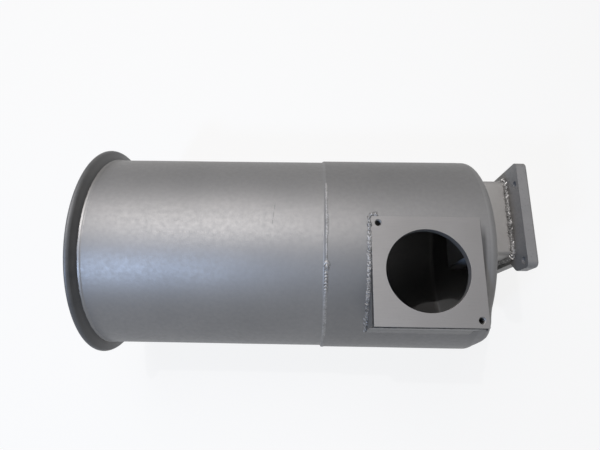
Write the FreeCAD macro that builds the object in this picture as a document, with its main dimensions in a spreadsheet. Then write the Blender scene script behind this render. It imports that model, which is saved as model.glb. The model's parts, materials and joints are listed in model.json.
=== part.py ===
import FreeCAD, Part
import math
import os
import re
import Sketcher

# Exhaust muffler can in welded sheet steel, in millimetres.
# X runs along the shell from the clamp ring to the outlet flange.
# Z points out of the square side port.
# The origin is the centre of the clamp ring's mating face.

document = FreeCAD.newDocument("muffler")
sheet = document.addObject("Spreadsheet::Sheet", "Sizes")

# Driving dimensions: name, size, meaning
SIZES = (
    ("shell_radius", 152.5, "outside radius of the rear shell"),
    ("shell_wall", 1.8, "sheet thickness of shells and end cap"),
    ("slip_gap", 0.2, "clearance of a sheet part that slips into another"),
    ("seam_place", 351, "distance of the rear shell's open end"),
    ("seam_lap", 12, "length of the front shell inside the rear shell"),
    ("rear_length", 215, "length of the rear shell"),
    ("ring_height", 15.2, "height of the clamp ring's rim above the front shell"),
    ("ring_rim", 6, "thickness of the clamp ring's rim"),
    ("ring_edge_radius", 2.4, "rounding of the rim"),
    ("ring_flank", 6, "axial length of the clamp ring's sloping back"),
    ("ring_neck", 3, "wall of the clamp ring's neck at the shell"),
    ("ring_stop", 4, "depth of the lip that the front shell stands against"),
    ("ring_bead", 2.4, "leg of the weld behind the clamp ring"),
    ("seam_bead", 4.6, "width of the weld at the shell seam"),
    ("seam_bead_rise", 0.6, "height of the seam weld above the rear shell"),
    ("cap_skirt", 13.7, "straight length of the end cap to the edge of its crown"),
    ("cap_crown_radius", 440, "radius of the end cap's crown"),
    ("cap_knuckle", 10, "radius of the end cap's outer bend"),
    ("plate_side", 148, "side of the square port plate"),
    ("plate_thickness", 12, "thickness of the port plate"),
    ("plate_drop", 0.5, "depth of the port plate's face below the shell's top line"),
    ("port_from_end", 80.7, "distance of the port's centre from the shell's end"),
    ("port_offset", 55.6, "sideways distance of the port's centre from the axis"),
    ("port_bore", 112, "bore of the port"),
    ("port_hole_edge", 9.5, "distance of the tapped holes from the plate's edges"),
    ("port_hole_bore", 8.5, "tapping bore for a 10 mm thread"),
    ("port_hole_chamfer", 1, "chamfer of the tapped holes"),
    ("box_wall", 4, "thickness of the port box's walls"),
    ("box_bead", 5, "leg of the weld at the foot of the port box"),
    ("plate_bead", 2, "radius of the weld between port plate and walls"),
    ("patch_reach", 21, "length of the corner patch over the end cap's bend"),
    ("patch_edge_radius", 5, "rounding of the corner patch"),
    ("patch_run", 47, "height of the corner patch below the foot of the port box"),
    ("patch_side", 33, "least sideways distance of the corner patch from the axis"),
    ("duct_side", 124, "outside of the square outlet duct"),
    ("duct_wall", 4, "wall of the outlet duct"),
    ("duct_corner", 7, "outer corner radius of the outlet duct"),
    ("duct_offset", 48, "sideways distance of the duct's centre from the axis"),
    ("duct_length", 63.3, "length of the duct from the edge of the cap's crown"),
    ("flange_thickness", 16, "thickness of the outlet flange"),
    ("flange_side_margin", 39.5, "width of the outlet flange beside the duct"),
    ("flange_top_margin", 14.5, "width of the outlet flange above the duct"),
    ("flange_waist_margin", 10.5, "width of the outlet flange's waist below the duct"),
    ("flange_ear_drop", 14.5, "length of the outlet flange's ears below its waist"),
    ("flange_ear_width", 54.5, "width of each ear"),
    ("flange_ear_slope", 16, "width of the slanted inner side of an ear"),
    ("flange_ear_radius", 9, "outer corner radius of the ears"),
    ("flange_ear_inner_radius", 15, "inner corner radius of the ears"),
    ("flange_corner", 8, "radius of the outlet flange's upper corners"),
    ("flange_notch_radius", 5, "radius where an ear meets the waist"),
    ("flange_hole_bore", 11, "bolt hole of the outlet flange"),
    ("flange_hole_edge", 12.5, "distance of the bolt holes from the side edge"),
    ("flange_hole_top", 32.8, "distance of the upper bolt holes from the flange's top"),
    ("flange_hole_foot", 12.1, "distance of the lower bolt holes from the ears' lower edge"),
    ("duct_bead", 5, "leg of the weld between duct and outlet flange"),
    ("duct_cap_bead", 4, "leg of the weld between duct and end cap"),
    ("baffle_wall", 2, "sheet thickness of the baffles"),
    ("baffle_rim", 14, "length of a baffle's turned rim"),
    ("front_baffle_x", 72, "distance of the front baffle"),
    ("rear_baffle_inset", 44, "distance of the rear baffle from the rear shell's open end"),
    ("tube_radius", 38, "outside radius of the core tubes"),
    ("tube_wall", 1.6, "wall of the core tubes"),
    ("tube_margin", 38.7, "least distance of a core tube from the front shell"),
    ("tube_stand", 8, "length that a core tube stands out of a baffle"),
    ("vent_bore", 10, "bore of the vents in the core tubes"),
    ("vent_pitch", 36, "spacing of the vents along a core tube"),
    ("vent_margin", 36, "distance of the first vents from the front baffle"),
    ("packing_gap", 0.3, "clearance around the packing"),
)
TUBE_COUNT = 3
VENT_COUNT = 8
FIRST_TUBE_ANGLE = 90.0
FULL_TURN = 360.0
SAME_SIZE = 1e-4
SAME_PLACE = 1e-3
NAMES = [name for name, size, meaning in SIZES]

for row, (name, size, meaning) in enumerate(SIZES, start=1):
    sheet.set("A%d" % row, meaning)
    sheet.set("B%d" % row, str(size))
    sheet.setAlias("B%d" % row, name)
document.recompute()


def sized(formula):
    """Address every size name in a formula through the sheet."""
    return re.sub(r"[a-z]\w*", lambda word: "Sizes." + word.group()
                  if word.group() in NAMES else word.group(), formula)


def number(formula):
    """Work out a formula of size names."""
    return float(sheet.evalExpression(sized(formula)))


def bind(item, prop, formula):
    """Tie a property to a formula of size names."""
    item.setExpression(prop, sized(formula))


# Bodies, sketches and features

def new_body(name):
    body = document.addObject("PartDesign::Body", name)
    body.Label = name
    return body


def origin_feature(body, role):
    return next(item for item in body.Origin.OriginFeatures if item.Role == role)


def new_sketch(body, role, height=None):
    """Add a sketch on one of the body's origin planes, raised by a height."""
    sketch = body.newObject("Sketcher::SketchObject", body.Name + "_sketch")
    sketch.AttachmentSupport = (origin_feature(body, role), [""])
    sketch.MapMode = "FlatFace"
    if height is not None:
        bind(sketch, "AttachmentOffset.Base.z", height)
    return sketch


def pin(sketch, kind, element, end, formula):
    """Fix one coordinate of a sketch point by a formula."""
    index = sketch.addConstraint(Sketcher.Constraint(kind, element, end, number(formula)))
    bind(sketch, "Constraints[%d]" % index, formula)


def add_outline(sketch, corners):
    """Draw a closed run of straight edges through corners given as formulas."""
    places = [FreeCAD.Vector(number(across), number(up), 0) for across, up in corners]
    first = sketch.GeometryCount
    count = len(places)
    for i in range(count):
        sketch.addGeometry(Part.LineSegment(places[i], places[(i + 1) % count]), False)
    for i in range(count):
        follower = first + (i + 1) % count
        sketch.addConstraint(Sketcher.Constraint("Coincident", first + i, 2, follower, 1))
    for i, (across, up) in enumerate(corners):
        pin(sketch, "DistanceX", first + i, 1, across)
        pin(sketch, "DistanceY", first + i, 1, up)


def add_circle(sketch, across, up, radius):
    """Draw a circle with its centre and radius given as formulas."""
    centre = FreeCAD.Vector(number(across), number(up), 0)
    normal = FreeCAD.Vector(0, 0, 1)
    index = sketch.addGeometry(Part.Circle(centre, normal, number(radius)), False)
    pin(sketch, "DistanceX", index, 3, across)
    pin(sketch, "DistanceY", index, 3, up)
    size = sketch.addConstraint(Sketcher.Constraint("Radius", index, number(radius)))
    bind(sketch, "Constraints[%d]" % size, radius)


def add_rectangle(sketch, left, right, low, high):
    add_outline(sketch, ((left, low), (right, low), (right, high), (left, high)))


def pad(body, sketch, length):
    feature = body.newObject("PartDesign::Pad", body.Name + "_pad")
    feature.Profile = sketch
    bind(feature, "Length", length)
    document.recompute()
    return feature


def pocket(body, sketch, depth):
    """Cut a sketch into the body, along the sketch's normal."""
    before = body.Shape.Volume
    feature = body.newObject("PartDesign::Pocket", body.Name + "_pocket")
    feature.Profile = sketch
    feature.Reversed = True
    bind(feature, "Length", depth)
    document.recompute()
    assert body.Shape.Volume < before, feature.Name + " cuts nothing"
    return feature


def revolve(body, sketch):
    """Turn a sketch once round the X axis."""
    feature = body.newObject("PartDesign::Revolution", body.Name + "_turn")
    feature.Profile = sketch
    feature.ReferenceAxis = (sketch, ["H_Axis"])
    feature.Angle = FULL_TURN
    document.recompute()
    return feature


def edges_where(shape, test):
    return ["Edge%d" % i for i, edge in enumerate(shape.Edges, start=1) if test(edge)]


def dress(body, kind, base, test, prop, formula):
    """Round or chamfer those edges of a feature that pass a test."""
    chosen = edges_where(base.Shape, test)
    assert chosen, body.Name + " has no edge to dress"
    feature = body.newObject("PartDesign::" + kind, body.Name + "_" + kind.lower())
    feature.Base = (base, chosen)
    bind(feature, prop, formula)
    document.recompute()
    return feature


def is_circle(edge, radius=None, along=None):
    """Tell whether an edge is a circle round the X axis of a radius and place."""
    if edge.Degenerated or not isinstance(edge.Curve, Part.Circle):
        return False
    if radius is not None and not math.isclose(edge.Curve.Radius, radius, abs_tol=SAME_SIZE):
        return False
    return along is None or math.isclose(edge.Curve.Center.x, along, abs_tol=SAME_SIZE)


def runs_along_x(edge, across, up):
    """Tell whether an edge is parallel to X and passes through a point."""
    start, end = edge.Vertexes[0].Point, edge.Vertexes[-1].Point
    level = abs(start.y - end.y) < SAME_SIZE and abs(start.z - end.z) < SAME_SIZE
    return (level and abs(start.x - end.x) > SAME_PLACE
            and abs(start.y - across) < SAME_PLACE and abs(start.z - up) < SAME_PLACE)


# Solids combined from simple forms

def new_block(name, x_span, y_span, z_span):
    """Make a block between pairs of formulas along X, Y and Z."""
    block = document.addObject("Part::Box", name)
    for side, axis, span in zip(("Length", "Width", "Height"), "xyz", (x_span, y_span, z_span)):
        low, high = span
        bind(block, side, "(%s) - (%s)" % (high, low))
        bind(block, "Placement.Base." + axis, low)
    return block


def new_drum(name, radius, x_span):
    """Make a solid cylinder on the X axis between two distances."""
    start, end = x_span
    drum = document.addObject("Part::Cylinder", name)
    drum.Placement = FreeCAD.Placement(FreeCAD.Vector(0, 0, 0),
                                       FreeCAD.Rotation(FreeCAD.Vector(0, 1, 0), 90))
    bind(drum, "Radius", radius)
    bind(drum, "Height", "(%s) - (%s)" % (end, start))
    bind(drum, "Placement.Base.x", start)
    return drum


def new_ball(name, radius, centre_x):
    ball = document.addObject("Part::Sphere", name)
    bind(ball, "Radius", radius)
    bind(ball, "Placement.Base.x", centre_x)
    return ball


def less(name, base, tool):
    result = document.addObject("Part::Cut", name)
    result.Label = name
    result.Base = base
    result.Tool = tool
    return result


def shared(name, base, tool):
    result = document.addObject("Part::Common", name)
    result.Label = name
    result.Base = base
    result.Tool = tool
    return result


# Places worked out from the driving dimensions
FRONT_RADIUS = "shell_radius - shell_wall - slip_gap"
FRONT_INSIDE = FRONT_RADIUS + " - shell_wall"
REAR_INSIDE = "shell_radius - shell_wall"
SHELL_END = "seam_place + rear_length"
RING_RADIUS = FRONT_RADIUS + " + ring_height"
RING_BACK = "ring_rim + ring_flank + ring_neck"
PORT_X = SHELL_END + " - port_from_end"
PLATE_LEFT = PORT_X + " - plate_side / 2"
PLATE_RIGHT = PORT_X + " + plate_side / 2"
PLATE_LOW = "0 - port_offset - plate_side / 2"
PLATE_HIGH = "plate_side / 2 - port_offset"
PLATE_FACE = "shell_radius - plate_drop"
PLATE_BACK = PLATE_FACE + " - plate_thickness"
BOX_FOOT = "sqrt(shell_radius ^ 2 - (port_offset + plate_side / 2) ^ 2)"
CROWN_EDGE = SHELL_END + " + cap_skirt"
CROWN_CENTRE = CROWN_EDGE + " - sqrt(cap_crown_radius ^ 2 - shell_radius ^ 2)"
FLANGE_BACK = CROWN_EDGE + " + duct_length"
REAR_BAFFLE = "seam_place + rear_baffle_inset"
TUBE_FRONT = "front_baffle_x - tube_stand"
TUBE_REAR = REAR_BAFFLE + " + baffle_wall + tube_stand"
TUBE_CIRCLE = "(" + FRONT_INSIDE + " - tube_radius - tube_margin)"


# Clamp ring

def make_ring():
    """Turned ring with a sloping back for a V-section clamp."""
    body = new_body("clamp_ring")
    sketch = new_sketch(body, "XY_Plane")
    add_outline(sketch, (
        ("0", FRONT_INSIDE), ("0", RING_RADIUS), ("ring_rim", RING_RADIUS),
        ("ring_rim + ring_flank", FRONT_RADIUS + " + ring_neck"),
        (RING_BACK, FRONT_RADIUS + " + ring_neck"), (RING_BACK, FRONT_RADIUS),
        ("ring_stop", FRONT_RADIUS), ("ring_stop", FRONT_INSIDE)))
    turned = revolve(body, sketch)
    radius = number(RING_RADIUS)
    dress(body, "Fillet", turned, lambda edge: is_circle(edge, radius), "Radius", "ring_edge_radius")
    return body


def make_ring_weld():
    """Fillet weld between the ring's neck and the front shell."""
    body = new_body("ring_weld")
    sketch = new_sketch(body, "XY_Plane")
    add_outline(sketch, ((RING_BACK, FRONT_RADIUS), (RING_BACK + " + ring_bead", FRONT_RADIUS),
                         (RING_BACK, FRONT_RADIUS + " + ring_bead")))
    revolve(body, sketch)
    return body


# Shells and end cap

def make_front_shell():
    """Rolled shell that stands in the ring and slips into the rear shell."""
    body = new_body("front_shell")
    sketch = new_sketch(body, "YZ_Plane", "ring_stop")
    add_circle(sketch, "0", "0", FRONT_RADIUS)
    add_circle(sketch, "0", "0", FRONT_INSIDE)
    pad(body, sketch, "seam_place + seam_lap - ring_stop")
    return body


def make_seam_weld():
    """Lap weld against the rear shell's end, slightly higher than its sheet."""
    body = new_body("seam_weld")
    sketch = new_sketch(body, "XY_Plane")
    add_outline(sketch, (
        ("seam_place - seam_bead", FRONT_RADIUS), ("seam_place", FRONT_RADIUS),
        ("seam_place", "shell_radius + seam_bead_rise / 2"),
        ("seam_place - seam_bead / 3", "shell_radius + seam_bead_rise")))
    revolve(body, sketch)
    return body


def make_rear_shell():
    """Rolled shell, cut out under the port plate and inside the port box."""
    body = new_body("rear_shell")
    ends = new_sketch(body, "YZ_Plane", "seam_place")
    add_circle(ends, "0", "0", "shell_radius")
    add_circle(ends, "0", "0", REAR_INSIDE)
    pad(body, ends, "rear_length")
    seat = new_sketch(body, "XY_Plane", PLATE_BACK)
    add_rectangle(seat, PLATE_LEFT, PLATE_RIGHT, PLATE_LOW, PLATE_HIGH)
    pocket(body, seat, "shell_radius")
    window = new_sketch(body, "XY_Plane")
    add_rectangle(window, PLATE_LEFT + " + box_wall", PLATE_RIGHT + " - box_wall",
                  PLATE_LOW + " + box_wall", PLATE_HIGH + " - box_wall")
    pocket(body, window, "shell_radius")
    return body


def make_dome(name, radius, crown, knuckle):
    """Solid dished form: a short cylinder, an outer bend and a crown."""
    body = new_body(name)
    sketch = new_sketch(body, "XY_Plane")
    start_x, centre_x = number(SHELL_END), number(CROWN_CENTRE)
    rim, ball = number(radius), number(crown)
    corner_x = centre_x + math.sqrt(ball * ball - rim * rim)
    flat = FreeCAD.Vector(start_x, 0, 0)
    edge = FreeCAD.Vector(start_x, rim, 0)
    corner = FreeCAD.Vector(corner_x, rim, 0)
    top = FreeCAD.Vector(centre_x + ball, 0, 0)
    circle = Part.Circle(FreeCAD.Vector(centre_x, 0, 0), FreeCAD.Vector(0, 0, 1), ball)
    crown_arc = Part.ArcOfCircle(circle, 0, math.asin(rim / ball))
    sketch.addGeometry([Part.LineSegment(flat, edge), Part.LineSegment(edge, corner),
                        crown_arc, Part.LineSegment(top, flat)], False)
    for first, end, second, start in ((0, 2, 1, 1), (1, 2, 2, 2), (2, 1, 3, 1), (3, 2, 0, 1)):
        sketch.addConstraint(Sketcher.Constraint("Coincident", first, end, second, start))
    pin(sketch, "DistanceX", 0, 1, SHELL_END)
    pin(sketch, "DistanceX", 0, 2, SHELL_END)
    pin(sketch, "DistanceY", 0, 2, radius)
    pin(sketch, "DistanceY", 1, 2, radius)
    sketch.addConstraint(Sketcher.Constraint("PointOnObject", 0, 1, -1))
    sketch.addConstraint(Sketcher.Constraint("PointOnObject", 2, 1, -1))
    sketch.addConstraint(Sketcher.Constraint("PointOnObject", 2, 3, -1))
    pin(sketch, "DistanceX", 2, 3, CROWN_CENTRE)
    size = sketch.addConstraint(Sketcher.Constraint("Radius", 2, ball))
    bind(sketch, "Constraints[%d]" % size, crown)
    turned = revolve(body, sketch)
    dress(body, "Fillet", turned, lambda item: is_circle(item, rim, corner_x), "Radius", knuckle)
    return body


def make_bar(name, side, corner, x_span):
    """Square bar with rounded edges along X at the duct's place."""
    start, end = x_span
    half = "(%s) / 2" % side
    low, high = "duct_offset - " + half, "duct_offset + " + half
    body = new_body(name)
    sketch = new_sketch(body, "YZ_Plane", start)
    add_rectangle(sketch, low, high, "0 - " + half, half)
    padded = pad(body, sketch, "(%s) - (%s)" % (end, start))
    places = [(number(y), number(z)) for y in (low, high) for z in ("0 - " + half, half)]
    dress(body, "Fillet", padded,
          lambda edge: any(runs_along_x(edge, y, z) for y, z in places), "Radius", corner)
    return body


def make_end_cap():
    """Dished cap with a square hole for the duct."""
    outside = make_dome("cap_outside", "shell_radius", "cap_crown_radius", "cap_knuckle")
    inside = make_dome("cap_inside", REAR_INSIDE, "cap_crown_radius - shell_wall",
                       "cap_knuckle - shell_wall")
    dish = less("cap_dish", outside, inside)
    hole = make_bar("cap_hole", "duct_side", "duct_corner", (SHELL_END, FLANGE_BACK))
    return less("end_cap", dish, hole)


# Port plate and the box that carries it

def make_port_plate():
    """Square plate with the port's bore and two tapped holes on one diagonal."""
    body = new_body("port_plate")
    square = new_sketch(body, "XY_Plane", PLATE_BACK)
    add_rectangle(square, PLATE_LEFT, PLATE_RIGHT, PLATE_LOW, PLATE_HIGH)
    pad(body, square, "plate_thickness")
    bore = new_sketch(body, "XY_Plane", PLATE_BACK)
    add_circle(bore, PORT_X, "0 - port_offset", "port_bore / 2")
    pocket(body, bore, "plate_thickness")
    taps = new_sketch(body, "XY_Plane", PLATE_BACK)
    add_circle(taps, PLATE_LEFT + " + port_hole_edge", PLATE_HIGH + " - port_hole_edge",
               "port_hole_bore / 2")
    add_circle(taps, PLATE_RIGHT + " - port_hole_edge", PLATE_LOW + " + port_hole_edge",
               "port_hole_bore / 2")
    drilled = pocket(body, taps, "plate_thickness")
    radius, face = number("port_hole_bore / 2"), number(PLATE_FACE)

    def at_tap_mouth(edge):
        if not isinstance(edge.Curve, Part.Circle):
            return False
        same_size = math.isclose(edge.Curve.Radius, radius, abs_tol=SAME_SIZE)
        return same_size and math.isclose(edge.Curve.Center.z, face, abs_tol=SAME_SIZE)

    dress(body, "Chamfer", drilled, at_tap_mouth, "Size", "port_hole_chamfer")
    return body


def make_box_wall(name, x_span, y_span):
    """Wall under the port plate whose foot follows the rear shell."""
    block = new_block(name + "_block", x_span, y_span, ("0", PLATE_BACK))
    drum = new_drum(name + "_drum", "shell_radius", ("seam_place", SHELL_END))
    return less(name, block, drum)


def make_box_walls():
    side = (PLATE_LOW, "0 - port_offset")
    left = make_box_wall("port_wall_left", (PLATE_LEFT, PLATE_LEFT + " + box_wall"), side)
    right = make_box_wall("port_wall_right", (PLATE_RIGHT + " - box_wall", PLATE_RIGHT), side)
    lower = make_box_wall("port_wall_lower",
                          (PLATE_LEFT + " + box_wall", PLATE_RIGHT + " - box_wall"),
                          (PLATE_LOW, PLATE_LOW + " + box_wall"))
    return [left, right, lower]


def make_foot_weld():
    """Weld round three sides of the port box, on the rear shell."""
    outer = new_block("foot_weld_outer",
                      (PLATE_LEFT + " - box_bead", PLATE_RIGHT + " + box_bead"),
                      (PLATE_LOW + " - box_bead", PLATE_HIGH), ("0", "shell_radius + box_bead"))
    inner = new_block("foot_weld_inner", (PLATE_LEFT, PLATE_RIGHT), (PLATE_LOW, PLATE_HIGH),
                      ("0", "shell_radius + box_bead"))
    band = less("foot_weld_band", outer, inner)
    over = new_drum("foot_weld_over", "shell_radius + box_bead", ("seam_place", SHELL_END))
    under = new_drum("foot_weld_under", "shell_radius", ("seam_place", SHELL_END))
    skin = less("foot_weld_skin", over, under)
    return shared("port_foot_weld", band, skin)


def make_plate_weld():
    """Bead under the port plate's edge, on the three box walls."""
    bead = "plate_bead"
    reach = "0 - sqrt(shell_radius ^ 2 - (%s) ^ 2) - plate_bead" % PLATE_BACK
    outer = new_block("plate_weld_outer",
                      (PLATE_LEFT + " - " + bead, PLATE_RIGHT + " + " + bead),
                      (PLATE_LOW + " - " + bead, reach),
                      (PLATE_BACK + " - " + bead, PLATE_BACK))
    inner = new_block("plate_weld_inner", (PLATE_LEFT, PLATE_RIGHT), (PLATE_LOW, reach),
                      (PLATE_BACK + " - " + bead, PLATE_BACK))
    band = less("plate_weld_band", outer, inner)
    drum = new_drum("plate_weld_drum", "shell_radius + box_bead", ("seam_place", SHELL_END))
    return less("port_plate_weld", band, drum)


def make_corner_patch():
    """Formed patch that carries the shell's line over the cap's bend at the box's corner."""
    end = SHELL_END + " + patch_reach"
    body = new_body("patch_form")
    sketch = new_sketch(body, "YZ_Plane", SHELL_END)
    add_circle(sketch, "0", "0", "shell_radius")
    padded = pad(body, sketch, "patch_reach")
    radius, end_x = number("shell_radius"), number(end)
    dress(body, "Fillet", padded, lambda edge: is_circle(edge, radius, end_x), "Radius",
          "patch_edge_radius")
    window = new_block("patch_window", (SHELL_END, end), ("0 - shell_radius", "0 - patch_side"),
                       (BOX_FOOT + " - patch_run", BOX_FOOT))
    corner = shared("patch_corner", body, window)
    dome = make_dome("patch_dome", "shell_radius", "cap_crown_radius", "cap_knuckle")
    return less("port_corner_patch", corner, dome)


# Outlet duct and its flange

def make_duct():
    """Square tube from inside the end cap to the flange's back."""
    span = (CROWN_EDGE, FLANGE_BACK)
    outside = make_bar("duct_outside", "duct_side", "duct_corner", span)
    inside = make_bar("duct_inside", "duct_side - 2 * duct_wall", "duct_corner - duct_wall", span)
    return less("outlet_duct", outside, inside)


def make_flange():
    """Waisted flange with two ears below and four bolt holes."""
    body = new_body("outlet_flange")
    sketch = new_sketch(body, "YZ_Plane", FLANGE_BACK)
    side = "duct_side / 2 + flange_side_margin"
    inner = side + " - flange_ear_width"
    ear = inner + " + flange_ear_slope"
    top = "duct_offset + duct_side / 2 + flange_top_margin"
    waist = "duct_offset - duct_side / 2 - flange_waist_margin"
    low = waist + " - flange_ear_drop"
    add_outline(sketch, (
        (top, "0 - (%s)" % side), (top, side), (low, side), (low, ear), (waist, inner),
        (waist, "0 - (%s)" % inner), (low, "0 - (%s)" % ear), (low, "0 - (%s)" % side)))
    plate = pad(body, sketch, "flange_thickness")
    groups = (("flange_corner", top, side), ("flange_ear_radius", low, side),
              ("flange_ear_inner_radius", low, ear), ("flange_notch_radius", waist, inner))
    for radius, height, across in groups:
        places = [(number(height), sign * number(across)) for sign in (1, -1)]
        plate = dress(body, "Fillet", plate,
                      lambda edge: any(runs_along_x(edge, y, z) for y, z in places),
                      "Radius", radius)
    half = "(duct_side / 2 - duct_wall)"
    mouth = new_sketch(body, "YZ_Plane", FLANGE_BACK)
    add_rectangle(mouth, "duct_offset - " + half, "duct_offset + " + half, "0 - " + half, half)
    opened = pocket(body, mouth, "flange_thickness")
    low_mouth, high_mouth = number("duct_offset - " + half), number("duct_offset + " + half)
    places = [(y, sign * number(half)) for y in (low_mouth, high_mouth) for sign in (1, -1)]
    dress(body, "Fillet", opened,
          lambda edge: any(runs_along_x(edge, y, z) for y, z in places),
          "Radius", "duct_corner - duct_wall")
    bolts = new_sketch(body, "YZ_Plane", FLANGE_BACK)
    reach = side + " - flange_hole_edge"
    for height in (top + " - flange_hole_top", low + " + flange_hole_foot"):
        for across in (reach, "0 - (%s)" % reach):
            add_circle(bolts, height, across, "flange_hole_bore / 2")
    pocket(body, bolts, "flange_thickness")
    return body


def make_duct_flange_weld():
    """Square-edged run of weld round the duct, on the flange's back."""
    span = (FLANGE_BACK + " - duct_bead", FLANGE_BACK)
    outer = make_bar("duct_weld_outer", "duct_side + 2 * duct_bead", "duct_corner + duct_bead",
                     span)
    inner = make_bar("duct_weld_inner", "duct_side", "duct_corner", span)
    return less("duct_flange_weld", outer, inner)


def make_duct_cap_weld():
    """Run of weld round the duct, on the end cap's crown."""
    span = (SHELL_END, FLANGE_BACK)
    outer = make_bar("cap_weld_outer", "duct_side + 2 * duct_cap_bead",
                     "duct_corner + duct_cap_bead", span)
    inner = make_bar("cap_weld_inner", "duct_side", "duct_corner", span)
    band = less("cap_weld_band", outer, inner)
    over = new_ball("cap_weld_over", "cap_crown_radius + duct_cap_bead", CROWN_CENTRE)
    under = new_ball("cap_weld_under", "cap_crown_radius", CROWN_CENTRE)
    skin = less("cap_weld_skin", over, under)
    return shared("duct_cap_weld", band, skin)


# Inside: baffles, core tubes and packing

def tube_place(index):
    """Formulas of a core tube's centre across the shell."""
    angle = FIRST_TUBE_ANGLE + FULL_TURN / TUBE_COUNT * index
    return TUBE_CIRCLE + " * cos(%g)" % angle, TUBE_CIRCLE + " * sin(%g)" % angle


def make_baffle(name, place, radius):
    """Pressed disc with a turned rim and three holes for the core tubes."""
    body = new_body(name)
    sketch = new_sketch(body, "XY_Plane")
    rim = "%s - slip_gap" % radius
    back = place + " + baffle_wall"
    add_outline(sketch, (
        (place, "0"), (back, "0"), (back, rim), (back + " - baffle_rim", rim),
        (back + " - baffle_rim", rim + " - baffle_wall"), (place, rim + " - baffle_wall")))
    revolve(body, sketch)
    holes = new_sketch(body, "YZ_Plane", place + " - baffle_rim")
    for index in range(TUBE_COUNT):
        across, up = tube_place(index)
        add_circle(holes, across, up, "tube_radius + slip_gap")
    pocket(body, holes, "baffle_rim + 2 * baffle_wall")
    return body


def make_core_tube(index):
    """Tube with rows of round vents between the two baffles."""
    body = new_body("core_tube_%d" % (index + 1))
    sketch = new_sketch(body, "YZ_Plane", TUBE_FRONT)
    add_circle(sketch, "0", "0", "tube_radius")
    add_circle(sketch, "0", "0", "tube_radius - tube_wall")
    pad(body, sketch, "(%s) - (%s)" % (TUBE_REAR, TUBE_FRONT))
    first = "front_baffle_x + vent_margin"
    room = number(REAR_BAFFLE + " - front_baffle_x - 2 * vent_margin")
    rows = int(room // number("vent_pitch")) + 1
    vents = new_sketch(body, "XY_Plane")
    for row in range(rows):
        add_circle(vents, "%s + %d * vent_pitch" % (first, row), "0", "vent_bore / 2")
    cut = pocket(body, vents, "2 * (tube_radius + tube_wall)")
    cut.SideType = "Symmetric"
    around = body.newObject("PartDesign::PolarPattern", body.Name + "_around")
    around.Originals = [cut]
    around.Axis = (origin_feature(body, "X_Axis"), [""])
    around.Angle = FULL_TURN / 2 - FULL_TURN / VENT_COUNT
    around.Occurrences = VENT_COUNT // 2
    body.Tip = around
    across, up = tube_place(index)
    bind(body, "Placement.Base.y", across)
    bind(body, "Placement.Base.z", up)
    document.recompute()
    return body


def make_packing():
    """Sound-absorbing wool that fills the space round the core tubes."""
    body = new_body("packing")
    start = "front_baffle_x + baffle_wall + packing_gap"
    end = REAR_BAFFLE + " - packing_gap"
    sketch = new_sketch(body, "YZ_Plane", start)
    add_circle(sketch, "0", "0", FRONT_INSIDE + " - packing_gap")
    for index in range(TUBE_COUNT):
        across, up = tube_place(index)
        add_circle(sketch, across, up, "tube_radius + packing_gap")
    pad(body, sketch, "(%s) - (%s)" % (end, start))
    inside = REAR_BAFFLE + " + baffle_wall - baffle_rim"
    rebate = new_sketch(body, "YZ_Plane", inside + " - packing_gap")
    add_circle(rebate, "0", "0", "shell_radius")
    add_circle(rebate, "0", "0", REAR_INSIDE + " - slip_gap - baffle_wall - packing_gap")
    pocket(body, rebate, "baffle_rim")
    return body


pieces = [make_ring(), make_ring_weld(), make_front_shell(), make_seam_weld(), make_rear_shell(),
          make_end_cap(), make_port_plate()]
pieces += make_box_walls()
pieces += [make_foot_weld(), make_plate_weld(), make_corner_patch(), make_duct(), make_flange(),
           make_duct_flange_weld(), make_duct_cap_weld(),
           make_baffle("front_baffle", "front_baffle_x", FRONT_INSIDE),
           make_baffle("rear_baffle", REAR_BAFFLE, REAR_INSIDE)]
pieces += [make_core_tube(index) for index in range(TUBE_COUNT)]
pieces += [make_packing()]
document.recompute()

# Every object has to be sound before anything is written
for item in document.Objects:
    faults = [state for state in item.State if state in ("Invalid", "Error")]
    assert not faults, "%s is %s" % (item.Name, faults)
for piece in pieces:
    shape = piece.Shape
    assert not shape.isNull() and shape.isValid(), piece.Label + " has no sound shape"
    assert len(shape.Solids) == 1, "%s has %d solids" % (piece.Label, len(shape.Solids))

os.makedirs("parts", exist_ok=True)
for piece in pieces:
    piece.Shape.exportStep(os.path.join("parts", piece.Label + ".step"))
    print("%-18s volume %10.0f" % (piece.Label, piece.Shape.Volume))
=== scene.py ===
import json
import math
import random

import bpy
from mathutils import Matrix, Vector

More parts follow.
